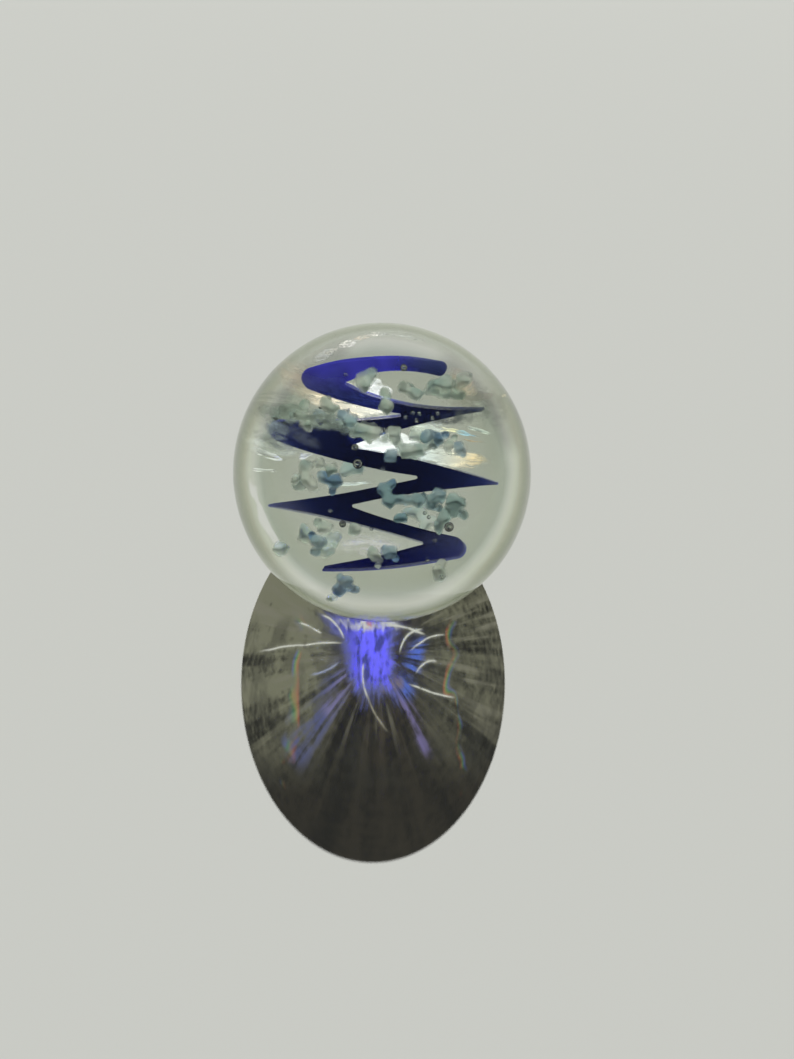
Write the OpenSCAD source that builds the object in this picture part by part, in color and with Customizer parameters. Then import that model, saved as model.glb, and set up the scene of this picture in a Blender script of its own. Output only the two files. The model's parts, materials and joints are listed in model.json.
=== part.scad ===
// Handmade clear glass marble with a folded cobalt ribbon, grains of melted frit and small air bubbles inside.
// The origin is the ball's centre and +Z is up as it rests. The ribbon's open folds show from the front (-Y) and above.
// The coloured work lies in a lens: its own axes are u (across), v (up the ribbon) and w (out of its show face).

/* [Ball] */
// Diameter of the finished ball
ball_d = 25; // [20:0.5:40]

/* [Coloured work] */
// Lean of the show face's axis back from straight up
lean = 38; // [0:1:90]
// Depth of the coloured work through its middle
work_depth = 5.6; // [4:0.2:8]
// Depth of the coloured work at its rim
rim_depth = 0.6; // [0.4:0.1:2]
// Diameter at which the rim depth is measured
rim_d = 14.4; // [12:0.2:16]

/* [Ribbon] */
// Distance between the farthest left fold and the farthest right fold
ribbon_w = 13.2; // [10:0.2:14]
// Distance from the start of the ribbon down to its tail
ribbon_h = 12; // [9:0.2:12.6]
// Height of the ribbon's middle over the ball's centre
ribbon_rise = 0.4; // [-0.4:0.1:0.8]
// Length over which a tight fold is melted shut, measured from its tip
tight_run = 4.6; // [3:0.1:5.5]
// Length over which an open turn is melted shut
open_run = 2.4; // [1.5:0.1:3]
// Radius of the tip of a tight fold
tight_r = 0.08; // [0.05:0.01:0.2]
// Radius of the outside of an open turn
open_r = 0.6; // [0.3:0.05:0.8]
// Radius of the blunt start of the ribbon
start_r = 0.36; // [0.15:0.01:0.45]
// Radius inside every fold
crook_r = 0.1; // [0.05:0.01:0.2]

/* [Frit] */
// Mean diameter of one grain
grain_d = 0.88; // [0.4:0.02:1]
// Spread of the grains' sizes, as a share of the mean
grain_spread = 0.3; // [0:0.05:0.35]
// How far neighbouring grains of one clump run into each other, as a share of their diameter
grain_overlap = 0.6; // [0.3:0.05:0.7]
// Clear glass between a grain and the face of the coloured work
grain_gap = 0.06; // [0.04:0.01:0.2]

/* [Bubbles] */
// Diameter of a large bubble
bubble_d = 0.6; // [0.3:0.05:0.9]
// Diameter of a small bubble
small_bubble_d = 0.42; // [0.2:0.02:0.6]
// Diameter of a seed, the finest bubble
seed_d = 0.26; // [0.16:0.02:0.34]
// Clear glass between the frit and the bubbles over it
bubble_gap = 0.1; // [0.05:0.05:0.5]

/* [Hidden] */
$fn = 64;

// ---- The lens that holds the coloured work ----
bulge = (work_depth - rim_depth) / 2;
face_r = (pow(rim_d / 2, 2) + bulge * bulge) / (2 * bulge);
face_offset = face_r - work_depth / 2;

// Height over the middle plane of what stands clear of the work's face at [u, v] by a lift.
function face_w(p, lift) = sqrt(pow(face_r + lift, 2) - p[0] * p[0] - p[1] * p[1]) - face_offset;

// A place in the work, [u, v], from its shares of the ribbon's half width and half height.
function place(share) = [share[0] * ribbon_w / 2, ribbon_rise + share[1] * ribbon_h / 2];

// ---- The ribbon's outline: a belt drawn round one disc in each turn ----
// A turn is [across, up, kind, bow of the side that leaves it]. Across and up are shares of the half width and height.
// A bow is in millimetres and is positive where the side swells outwards.
START = 0;
OPEN = 1;
SHUT = 2;
SHARP = 3;
kind_r = [start_r, open_r, open_r, tight_r];
kind_run = [0, open_run, tight_run, tight_run];
turns = [
    [ 0.45,  1.00, START,  0.60],
    [-0.77,  0.78, OPEN,   0.25],
    [ 0.80,  0.66, SHARP, -0.50],
    [-1.00,  0.27, SHUT,   0.35],
    [ 1.00, -0.02, SHARP,  0.20],
    [-0.95, -0.44, SHARP, -0.15],
    [ 0.78, -0.68, OPEN,   0.00],
    [-0.45, -1.00, SHARP,  0.40]
];
// The inside of a fold is [height over the fold's tip in millimetres, bow of the side that leaves it].
crooks = [
    [ 0.0, -0.40],
    [-0.7,  0.00],
    [-0.4, -0.20],
    [-0.1, -0.10],
    [ 0.4, -0.15],
    [ 0.0, -0.10]
];
arc_step = 15;
side_steps = 8;

function turn_r(i) = kind_r[turns[i][2]];
function side_of(i) = sign(turns[i][0]);
function turn_tip(i) = place(turns[i]);

// Discs are [centre, radius, +1 outside a turn or -1 inside a fold, bow of the side that leaves it].
function turn_disc(i) = [turn_tip(i) - [side_of(i) * turn_r(i), 0], turn_r(i), 1, turns[i][3]];
function crook_disc(i) =
    let (run = kind_run[turns[i][2]])
    [turn_tip(i) + [-side_of(i) * (run + crook_r), crooks[i - 1][0]], crook_r, -1, crooks[i - 1][1]];

last = len(turns) - 1;
belt = concat(
    [for (i = [0 : last]) i == 0 || i % 2 == 1 ? turn_disc(i) : crook_disc(i)],
    [for (i = [last - 1 : -1 : 1]) i % 2 == 0 ? turn_disc(i) : crook_disc(i)]
);

function heading(v) = atan2(v[1], v[0]);
function polar(r, a) = r * [cos(a), sin(a)];
function next(i) = (i + 1) % len(belt);
function prior(i) = (i + len(belt) - 1) % len(belt);
function pull(i) =
    let (a = belt[i][0], b = belt[next(i)][0], d = b - a)
    (a + b) / 2 + 2 * belt[i][3] * [d[1], -d[0]] / norm(d);
function leave_at(i) =
    let (d = pull(i) - belt[i][0])
    heading(d) + belt[i][2] * (asin(belt[i][1] / norm(d)) - 90);
function arrive_at(i) =
    let (d = belt[i][0] - pull(prior(i)))
    heading(d) - belt[i][2] * (asin(belt[i][1] / norm(d)) + 90);
function wrap(a) = a - 360 * floor(a / 360);
function sweep(i) = belt[i][2] * wrap(belt[i][2] * (leave_at(i) - arrive_at(i)));
function arc_points(i) =
    let (n = max(2, ceil(abs(sweep(i)) / arc_step)))
    [for (k = [0 : n]) belt[i][0] + polar(belt[i][1], arrive_at(i) + sweep(i) * k / n)];
function side_points(i) =
    let (
        a = belt[i][0] + polar(belt[i][1], leave_at(i)),
        b = belt[next(i)][0] + polar(belt[next(i)][1], arrive_at(next(i))),
        q = pull(i)
    )
    [for (k = [1 : side_steps - 1])
        let (t = k / side_steps)
        (1 - t) * (1 - t) * a + 2 * t * (1 - t) * q + t * t * b];
ribbon_outline = [
    for (i = [0 : len(belt) - 1]) each concat(arc_points(i), side_points(i))
];

// ---- Frit: a clump is [across, up, +1 on the show face or -1 on the back, grains] ----
sage_clumps = [
    [-0.19,  0.85,  1, 3],
    [-0.31,  0.80,  1, 2],
    [ 0.16,  0.82,  1, 3],
    [-0.03,  0.71,  1, 3],
    [ 0.22,  0.70, -1, 1],
    [ 0.37,  0.83, -1, 3],
    [ 0.45,  0.81, -1, 2],
    [ 0.55,  0.82, -1, 3],
    [-0.77,  0.47,  1, 3],
    [-0.82,  0.39, -1, 3],
    [-0.92,  0.41, -1, 2],
    [-0.51,  0.54,  1, 3],
    [-0.72,  0.37,  1, 2],
    [-0.24,  0.37,  1, 3],
    [-0.12,  0.36,  1, 3],
    [ 0.06,  0.37,  1, 3],
    [ 0.26,  0.36, -1, 3],
    [ 0.20,  0.21,  1, 3],
    [ 0.29,  0.24,  1, 2],
    [ 0.39,  0.32,  1, 3],
    [ 0.56,  0.31,  1, 3],
    [-0.71, -0.12,  1, 4],
    [-0.66, -0.18,  1, 2],
    [-0.73, -0.16, -1, 2],
    [-0.52, -0.05,  1, 4],
    [-0.34, -0.07, -1, 2],
    [-0.22, -0.02, -1, 2],
    [-0.48, -0.62,  1, 3],
    [-0.38, -0.69, -1, 3],
    [-0.45, -0.80, -1, 3],
    [-0.60, -0.68, -1, 3],
    [-0.21, -0.61,  1, 1],
    [-0.81, -0.82, -1, 1],
    [ 0.02, -0.86,  1, 3],
    [-0.37, -1.29, -1, 2],
    [ 0.58, -0.93,  1, 3],
    [ 0.64, -0.30,  1, 4],
    [ 0.72, -0.33,  1, 3],
    [ 0.27, -0.36, -1, 3],
    [ 0.40, -0.47, -1, 3],
    [ 0.54, -0.49,  1, 3]
];
slate_clumps = [
    [-0.58,  0.43, -1, 2],
    [-0.42,  0.50,  1, 2],
    [-0.33,  0.44,  1, 2],
    [ 0.45,  0.36,  1, 4],
    [ 0.65,  0.29,  1, 2],
    [ 0.05,  0.15,  1, 1],
    [-0.47, -0.16,  1, 4],
    [-0.54, -0.76,  1, 4],
    [ 0.14, -0.80,  1, 3],
    [-0.24, -1.19,  1, 5],
    [ 0.05, -0.21,  1, 4],
    [ 0.26, -0.24,  1, 3],
    [ 0.46, -0.23,  1, 5],
    [ 0.21, -0.45,  1, 2]
];
// Angles that scatter the grains: one step round a clump's spiral, its turn from clump to clump, and the swing of sizes.
spiral_turn = 137.5;
clump_turn = 264;
size_turn = 365;
size_step = 97;
// How each of a grain's three cubes starts and how it tumbles from grain to grain.
cube_start = [[0, 0, 0], [45, 0, 0], [0, 45, 0]];
cube_tumble = [[53, 29, 0], [31, 0, 71], [0, 17, 37]];
// Side of the cubes that a grain is broken from and the reach of its corners, as shares of its radius.
grain_side = 1.75;
grain_reach = 1.25;

grain_step = grain_d * (1 - grain_overlap);
function grain_r(clump, k) = grain_d / 2 * (1 + grain_spread * sin(size_step * k + size_turn * clump[1]));
function grain_at(clump, k) =
    let (
        p = place(clump) + polar(grain_step * sqrt(k), spiral_turn * k + clump_turn * clump[0]),
        w = face_w(p, grain_gap + grain_reach * grain_r(clump, k))
    )
    [p[0], p[1], clump[2] * w];
frit_top = grain_gap + grain_reach * grain_d * (1 + grain_spread);

// ---- Bubbles over the show face: [across, up, diameter] ----
bubbles = [
    [-0.24,  0.04, bubble_d],
    [ 0.65, -0.50, bubble_d],
    [-0.28,  0.20, small_bubble_d],
    [-0.33, -0.57, small_bubble_d],
    [ 0.09,  1.02, small_bubble_d],
    [ 0.48, -0.86, seed_d],
    [-0.42,  0.89, seed_d],
    [ 0.53, -0.65, seed_d],
    [-0.01,  0.02, seed_d],
    [ 0.41, -0.38, seed_d],
    [ 0.45, -0.42, seed_d],
    [-0.45, -0.45, seed_d],
    [-0.06, -0.59, seed_d],
    [ 0.63, -1.02, seed_d],
    [ 0.15,  0.54, seed_d],
    [ 0.21,  0.59, seed_d],
    [ 0.27,  0.59, seed_d],
    [ 0.25,  0.52, seed_d],
    [ 0.39,  0.56, seed_d],
    [ 0.43,  0.61, seed_d]
];

// Turns the coloured work's own axes to the ball's.
module in_work() rotate([lean, 0, 0]) children();

module work_lens() {
    intersection() {
        translate([0, 0, -face_offset]) sphere(r = face_r);
        translate([0, 0, face_offset]) sphere(r = face_r);
    }
}

module ribbon_form() {
    intersection() {
        translate([0, 0, -work_depth / 2]) linear_extrude(work_depth) polygon(ribbon_outline);
        work_lens();
    }
}

// One grain of crushed glass: a lump that keeps its broken faces.
module grain(r, k) {
    intersection() {
        rotate(cube_start[0] + k * cube_tumble[0]) cube(grain_side * r, center = true);
        rotate(cube_start[1] + k * cube_tumble[1]) cube(grain_side * r, center = true);
        rotate(cube_start[2] + k * cube_tumble[2]) cube(grain_side * r, center = true);
    }
}

module grains(clumps) {
    for (clump = clumps, k = [0 : clump[3] - 1]) {
        translate(grain_at(clump, k)) grain(grain_r(clump, k), k + clump[0]);
    }
}

module bubble(p, d) {
    translate([p[0], p[1], face_w(p, frit_top + bubble_gap + d / 2)]) sphere(d = d, $fn = 24);
}

module bubble_voids() {
    for (b = bubbles) bubble(place(b), b[2]);
}

module clear_ball() {
    color([0.80, 0.84, 0.80, 0.3]) difference() {
        sphere(d = ball_d, $fn = 96);
        in_work() {
            ribbon_form();
            grains(sage_clumps);
            grains(slate_clumps);
            bubble_voids();
        }
    }
}

module cobalt_ribbon() {
    color([0.08, 0.06, 0.45]) in_work() ribbon_form();
}

module sage_frit() {
    color([0.52, 0.60, 0.54]) in_work() difference() {
        grains(sage_clumps);
        grains(slate_clumps);
    }
}

module slate_frit() {
    color([0.36, 0.47, 0.56]) in_work() grains(slate_clumps);
}

clear_ball();
cobalt_ribbon();
sage_frit();
slate_frit();
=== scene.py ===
"""Dresses a handmade clear glass marble: ribbon, frit, trapped air, floor, lamps and camera."""

import json
import logging
import math
from collections.abc import Iterator, Sequence
from contextlib import contextmanager
from dataclasses import dataclass, field, replace
from enum import Enum

import bmesh
import bpy
from mathutils import Euler, Matrix, Vector

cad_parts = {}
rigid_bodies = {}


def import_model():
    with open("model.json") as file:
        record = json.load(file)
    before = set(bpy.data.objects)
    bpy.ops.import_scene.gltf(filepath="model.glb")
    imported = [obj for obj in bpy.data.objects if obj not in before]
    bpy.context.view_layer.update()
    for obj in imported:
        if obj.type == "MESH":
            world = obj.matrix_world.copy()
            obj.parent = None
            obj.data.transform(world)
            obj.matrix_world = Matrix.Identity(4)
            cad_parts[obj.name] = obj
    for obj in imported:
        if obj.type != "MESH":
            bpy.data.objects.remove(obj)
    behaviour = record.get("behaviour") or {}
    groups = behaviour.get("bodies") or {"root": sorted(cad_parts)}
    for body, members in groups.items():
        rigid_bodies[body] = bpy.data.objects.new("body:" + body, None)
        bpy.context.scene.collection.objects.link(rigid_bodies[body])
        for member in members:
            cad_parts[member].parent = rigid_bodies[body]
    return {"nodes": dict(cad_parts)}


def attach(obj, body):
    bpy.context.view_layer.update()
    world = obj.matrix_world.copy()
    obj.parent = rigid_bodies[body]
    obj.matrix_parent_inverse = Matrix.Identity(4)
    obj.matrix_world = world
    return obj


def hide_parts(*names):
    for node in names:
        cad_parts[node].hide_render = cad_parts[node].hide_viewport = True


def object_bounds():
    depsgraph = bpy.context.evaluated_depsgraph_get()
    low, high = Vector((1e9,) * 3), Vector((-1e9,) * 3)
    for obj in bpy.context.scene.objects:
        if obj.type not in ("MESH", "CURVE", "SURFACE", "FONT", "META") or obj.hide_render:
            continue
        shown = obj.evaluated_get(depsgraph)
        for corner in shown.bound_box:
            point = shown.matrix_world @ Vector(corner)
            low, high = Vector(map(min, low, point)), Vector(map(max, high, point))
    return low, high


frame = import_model()
cad_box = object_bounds()

LOG = logging.getLogger("marble")
MM = 0.001
RADIUS = (cad_box[1].z - cad_box[0].z) / 2
FLOOR_Z = cad_box[0].z
# Corners that lie closer than this are one corner.
WELD = 0.0001 * MM

# The coloured work leans back in the ball: its own axes, seen from the show side.
LEAN = math.radians(38)
ACROSS = Vector((1, 0, 0))
UPWARD = Vector((0, math.cos(LEAN), math.sin(LEAN)))
FACING = Vector((0, -math.sin(LEAN), math.cos(LEAN)))

# The way to the main lamp, and two axes square to it that measure its beam.
LAMP_WAY = Vector((-0.054, 0.675, 0.736)).normalized()
BEAM_SIDE = LAMP_WAY.cross(Vector((0, 0, 1))).normalized()
BEAM_UP = LAMP_WAY.cross(BEAM_SIDE).normalized()

Colour = tuple[float, float, float]
Span = tuple[float, float]
Stops = tuple[tuple[float, Colour], ...]
Inputs = dict[str | int, object]
Socket = bpy.types.NodeSocket

WHITE: Colour = (1.0, 1.0, 1.0)
BLACK: Colour = (0.0, 0.0, 0.0)


# -------------------- Small helpers --------------------


def in_work(across: float, up: float, depth: float) -> Vector:
    """Returns the point that lies so many millimetres along each axis of the coloured work."""
    return (ACROSS * across + UPWARD * up + FACING * depth) * MM


def deselect() -> None:
    """Leaves nothing selected and no object in edit mode."""
    if bpy.context.object and bpy.context.object.mode != "OBJECT":
        bpy.ops.object.mode_set(mode="OBJECT")
    bpy.ops.object.select_all(action="DESELECT")


def activate(piece: bpy.types.Object) -> None:
    """Selects one object alone and makes it active.

    Args:
        piece: The object to work on.
    """
    deselect()
    piece.select_set(True)
    bpy.context.view_layer.objects.active = piece


def settle(piece: bpy.types.Object) -> None:
    """Moves an object's place into its mesh, so that it sits unturned at the origin."""
    activate(piece)
    bpy.ops.object.transform_apply(location=True, rotation=True, scale=True)


def join_all(parts: list[bpy.types.Object], name: str) -> bpy.types.Object:
    """Joins objects into the first one.

    Args:
        parts: The objects.
        name: The joined object's name.

    Returns:
        The joined object.
    """
    deselect()
    for part in parts:
        part.select_set(True)
    bpy.context.view_layer.objects.active = parts[0]
    if len(parts) > 1:
        bpy.ops.object.join()
    parts[0].name = name
    return parts[0]


def finish_with(piece: bpy.types.Object, kind: str, **values: object) -> None:
    """Adds a modifier to a piece and applies it.

    Args:
        piece: The object.
        kind: The modifier's type.
        values: Its properties.
    """
    activate(piece)
    modifier = piece.modifiers.new(kind.lower(), kind)
    for key, value in values.items():
        setattr(modifier, key, value)
    bpy.ops.object.modifier_apply(modifier=modifier.name)

@contextmanager
def editing(piece: bpy.types.Object) -> Iterator[None]:
    """Opens a piece in edit mode with all of it selected.

    Args:
        piece: The object.
    """
    activate(piece)
    bpy.ops.object.mode_set(mode="EDIT")
    bpy.ops.mesh.select_all(action="SELECT")
    yield
    bpy.ops.object.mode_set(mode="OBJECT")


def round_off(piece: bpy.types.Object) -> None:
    """Shades a piece smoothly."""
    activate(piece)
    bpy.ops.object.shade_smooth()


def add_ball(
    splits: int, radius: float, middle: Sequence[float] = (0, 0, 0)
) -> bpy.types.Object:
    """Adds a ball of even triangles, split so many times, and returns it."""
    bpy.ops.mesh.primitive_ico_sphere_add(subdivisions=splits, radius=radius, location=middle)
    return bpy.context.object


def displace(piece: bpy.types.Object, name: str, lump: float, depth: float, level: float) -> None:
    """Moves a piece's skin in and out by a cloud texture.

    Args:
        piece: The object.
        name: The texture's name.
        lump: The size of its lumps in metres.
        depth: How far the skin moves between black and white.
        level: The grey that moves nothing.
    """
    texture = bpy.data.textures.new(name, "CLOUDS")
    texture.noise_scale = lump
    texture.noise_depth = 1
    finish_with(piece, "DISPLACE", texture=texture, strength=depth, mid_level=level)


def dress(piece: bpy.types.Object, material: bpy.types.Material) -> None:
    """Gives a piece one material and no other."""
    piece.data.materials.clear()
    piece.data.materials.append(material)


@dataclass(frozen=True)
class Shell:
    """One closed shell of a CAD node, measured as a ball round its middle."""

    centre: Vector
    radius: float
    roundness: float


def shells_of(node: str) -> list[Shell]:
    """Measures every closed shell of a CAD node.

    Args:
        node: The CAD node's name.

    Returns:
        One Shell for each closed shell. Its roundness is the least over the greatest distance
        from its middle.
    """
    mesh = bmesh.new()
    mesh.from_mesh(frame["nodes"][node].data)
    bmesh.ops.remove_doubles(mesh, verts=mesh.verts, dist=WELD)
    found: list[Shell] = []
    left = set(mesh.verts)
    while left:
        front = [left.pop()]
        members = []
        while front:
            vert = front.pop()
            members.append(vert.co.copy())
            for edge in vert.link_edges:
                other = edge.other_vert(vert)
                if other in left:
                    left.remove(other)
                    front.append(other)
        low = Vector(min(p[k] for p in members) for k in range(3))
        high = Vector(max(p[k] for p in members) for k in range(3))
        centre = (low + high) / 2
        reach = [(p - centre).length for p in members]
        found.append(Shell(centre, max(reach), min(reach) / max(reach)))
    mesh.free()
    return sorted(found, key=lambda shell: tuple(shell.centre))


# -------------------- Node trees --------------------


@dataclass(frozen=True)
class Streak:
    """One bowed streak in the ball's beam, in shares of the radius."""

    start: Span
    end: Span
    bow: float = 0.0
    width: float = 0.02
    colour: Colour = (1.0, 1.0, 0.96)


class Tree:
    """Adds nodes to a material's or a group's node tree."""

    def __init__(self, tree: bpy.types.NodeTree) -> None:
        """Keeps the tree and empties it.

        Args:
            tree: The node tree.
        """
        self.nodes = tree.nodes
        self.links = tree.links
        self.nodes.clear()

    def feed(self, target: Socket, value: object) -> None:
        """Links a socket to a target, or sets the target's own value.

        Args:
            target: The input socket.
            value: A socket, a number, a vector or a colour.
        """
        if isinstance(value, Socket):
            self.links.new(value, target)
        elif target.type == "RGBA":
            target.default_value = (*value, 1)
        else:
            target.default_value = value

    def add(self, kind: str, inputs: Inputs | None = None, **values: object) -> bpy.types.Node:
        """Adds a node.

        Args:
            kind: The node's type.
            inputs: What goes into its inputs, by their names or numbers.
            values: Properties to set.

        Returns:
            The new node.
        """
        node = self.nodes.new(kind)
        for key, value in values.items():
            setattr(node, key, value)
        for key, value in (inputs or {}).items():
            self.feed(node.inputs[key], value)
        return node

    def math(self, operation: str, *terms: object) -> Socket:
        """Returns the result of a Math node on one to three sockets or numbers."""
        return self.add("ShaderNodeMath", dict(enumerate(terms)), operation=operation).outputs[0]

    def times(self, first: Socket, *others: object) -> Socket:
        """Multiplies values.

        Args:
            first: A socket.
            others: Sockets or numbers.

        Returns:
            Their product.
        """
        for other in others:
            first = self.math("MULTIPLY", first, other)
        return first

    def scaled(self, value: Socket, factor: float, more: object) -> Socket:
        """Returns a value times a factor, and more added to it."""
        return self.math("MULTIPLY_ADD", value, factor, more)

    def swayed(self, value: Socket, noise: Socket, width: float) -> Socket:
        """Returns a value that a noise from 0 to 1 sways evenly over a width."""
        return self.scaled(noise, width, self.math("SUBTRACT", value, width / 2))

    def unsigned(self, value: Socket) -> Socket:
        """Returns a value without its sign."""
        return self.math("ABSOLUTE", value)

    def length(self, first: Socket, second: Socket) -> Socket:
        """Returns the long side of a right triangle with these two short ones."""
        squares = [self.times(side, side) for side in (first, second)]
        return self.math("SQRT", self.math("ADD", *squares))

    def places(self) -> Socket:
        """Returns the piece's own coordinates."""
        return self.add("ShaderNodeTexCoord").outputs["Object"]

    def along(self, places: Socket, axis: Vector) -> Socket:
        """Returns how far a place lies along an axis, whose length scales the result."""
        node = self.add("ShaderNodeVectorMath", {0: places, 1: axis}, operation="DOT_PRODUCT")
        return node.outputs["Value"]

    def vector(self, x: Socket, y: Socket, z: object = 0.0) -> Socket:
        """Returns three values as one vector."""
        return self.add("ShaderNodeCombineXYZ", {"X": x, "Y": y, "Z": z}).outputs["Vector"]

    def stored(self, name: str) -> bpy.types.bpy_prop_collection:
        """Returns the outputs of a node that reads an attribute stored in the mesh."""
        return self.add("ShaderNodeAttribute", attribute_name=name).outputs

    def within(self) -> Socket:
        """Returns 1 where a ray meets the surface from inside, and 0 elsewhere."""
        return self.add("ShaderNodeNewGeometry").outputs["Backfacing"]

    def turned(self, **inputs: Socket) -> Socket:
        """Returns how far the surface turns from the eye, from 0 to 1."""
        return self.add("ShaderNodeLayerWeight", inputs).outputs["Facing"]

    def noise(
        self, places: Socket, scale: object, detail: float = 2.0, twist: float = 0.0
    ) -> Socket:
        """Returns a noise texture's value, from 0 to 1."""
        inputs = {"Vector": places, "Scale": scale, "Detail": detail, "Distortion": twist}
        return self.add("ShaderNodeTexNoise", inputs).outputs["Fac"]

    def fit(self, value: Socket, low: float, high: float) -> Socket:
        """Returns a smooth step, 0 at low and 1 at high, which may be the lower of the two."""
        inputs = {"Value": value, "From Min": low, "From Max": high}
        return self.add("ShaderNodeMapRange", inputs, interpolation_type="SMOOTHSTEP").outputs[0]

    def band(self, value: Socket, first: Span, second: Span) -> Socket:
        """Returns the mask of the range between two smooth steps, each a start and an end."""
        return self.times(self.fit(value, *first), self.fit(value, *second))

    def streak(self, side: Socket, rise: Socket, line: Streak) -> Socket:
        """Masks one bowed streak that thins out to both ends.

        Args:
            side: Place from side to side.
            rise: Place up and down.
            line: The streak.

        Returns:
            The mask, 1 along the streak's middle.
        """
        run = Vector((line.end[0] - line.start[0], line.end[1] - line.start[1]))
        along, over = run / run.length_squared, Vector((-run.y, run.x)) / run.length
        begin = Vector(line.start)
        far, off = (
            self.scaled(rise, axis.y, self.scaled(side, axis.x, -begin.dot(axis)))
            for axis in (along, over)
        )
        swell = self.times(far, self.math("SUBTRACT", 1.0, far))
        off = self.unsigned(self.scaled(swell, -4 * line.bow, off))
        return self.times(self.fit(off, line.width, 0.0), self.fit(swell, 0.0, 0.16))

    def ramp(self, value: Socket, stops: Stops) -> Socket:
        """Adds a colour ramp.

        Args:
            value: The value that it reads.
            stops: Positions and colours.

        Returns:
            The colour.
        """
        node = self.add("ShaderNodeValToRGB", {"Fac": value})
        bar = node.color_ramp.elements
        for place, colour in stops[1:-1]:
            bar.new(place).color = (*colour, 1)
        for element, (place, colour) in ((bar[0], stops[0]), (bar[-1], stops[-1])):
            element.position = place
            element.color = (*colour, 1)
        return node.outputs["Color"]

    def blend(self, amount: Socket, first: object, second: object) -> Socket:
        """Returns two colours mixed, with so much of the second."""
        inputs = {0: amount, 6: first, 7: second}
        return self.add("ShaderNodeMix", inputs, data_type="RGBA", clamp_result=False).outputs[2]

    def mix(self, amount: object, first: Socket, second: Socket) -> Socket:
        """Returns two shaders mixed, with so much of the second."""
        return self.add("ShaderNodeMixShader", {0: amount, 1: first, 2: second}).outputs[0]

    def shader(self, kind: str, **inputs: object) -> Socket:
        """Returns a surface shader, its inputs named with _ for each space."""
        named = {key.replace("_", " "): value for key, value in inputs.items()}
        return self.add("ShaderNodeBsdf" + kind, named).outputs["BSDF"]

    def glass(self, ior: float, **inputs: object) -> Socket:
        """Returns the shader of clear, polished glass."""
        return self.shader("Principled", Roughness=0.0, IOR=ior, Transmission_Weight=1.0, **inputs)

    def cloudy(self, colour: Socket, glow: float, **inputs: object) -> Socket:
        """Returns cloudy glass: a dull skin, of which a part glows with the light behind it."""
        skin = self.shader("Principled", Base_Color=colour, IOR=1.05, **inputs)
        return self.mix(glow, skin, self.shader("Translucent", Color=colour))

    def finish(self, surface: Socket, tint: Colour | None = None, density: float = 0.0) -> None:
        """Ends a material.

        Args:
            surface: Its surface shader.
            tint: The colour that its bulk leaves of the light, if it takes any.
            density: How fast the bulk takes it.
        """
        out = self.add("ShaderNodeOutputMaterial", {"Surface": surface})
        if tint:
            bulk = self.add("ShaderNodeVolumeAbsorption", {"Color": tint, "Density": density})
            self.feed(out.inputs["Volume"], bulk.outputs["Volume"])

    def tipped(self, way: Vector) -> Socket:
        """Tips the surface's own normal, as light that scatters inside cloudy glass seems to.

        Args:
            way: What is added to the normal.

        Returns:
            The tipped normal.
        """
        normal = self.add("ShaderNodeNewGeometry").outputs["Normal"]
        added = self.add("ShaderNodeVectorMath", {0: normal, 1: way}, operation="ADD")
        unit = self.add("ShaderNodeVectorMath", {0: added.outputs[0]}, operation="NORMALIZE")
        return unit.outputs["Vector"]

    def bump(self, height: Socket, distance: float) -> Socket:
        """Returns the normal bumped by a height from 0 to 1, which is a distance in metres at 1."""
        inputs = {"Strength": 1.0, "Distance": distance, "Height": height}
        return self.add("ShaderNodeBump", inputs).outputs["Normal"]


def new_material(name: str) -> tuple[bpy.types.Material, Tree]:
    """Makes an empty material.

    Args:
        name: The material's name.

    Returns:
        The material and its tree.
    """
    material = bpy.data.materials.new(name)
    material.use_nodes = True
    return material, Tree(material.node_tree)


def melt_group() -> bpy.types.NodeTree:
    """Makes the group that clouds melted glass, or finds it.

    Returns:
        The group, which gives a patchy mask and the colour between pale and deep.
    """
    group = bpy.data.node_groups.get("melt_clouds")
    if group:
        return group
    group = bpy.data.node_groups.new("melt_clouds", "ShaderNodeTree")
    for name, way, kind in (
        ("Scale", "INPUT", "Float"),
        ("Pale", "INPUT", "Color"),
        ("Deep", "INPUT", "Color"),
        ("Mask", "OUTPUT", "Float"),
        ("Colour", "OUTPUT", "Color"),
    ):
        group.interface.new_socket(name, in_out=way, socket_type="NodeSocket" + kind)
    tree = Tree(group)
    given = tree.add("NodeGroupInput").outputs
    mask = tree.fit(tree.noise(tree.places(), given["Scale"], 3.0, 0.6), 0.35, 0.68)
    colour = tree.blend(mask, given["Pale"], given["Deep"])
    tree.add("NodeGroupOutput", {"Mask": mask, "Colour": colour})
    return group


# -------------------- Finishes --------------------


def greys(*stops: Span) -> Stops:
    """Returns stops in which each place has a grey."""
    return tuple((place, (grey, grey, grey)) for place, grey in stops)


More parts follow.
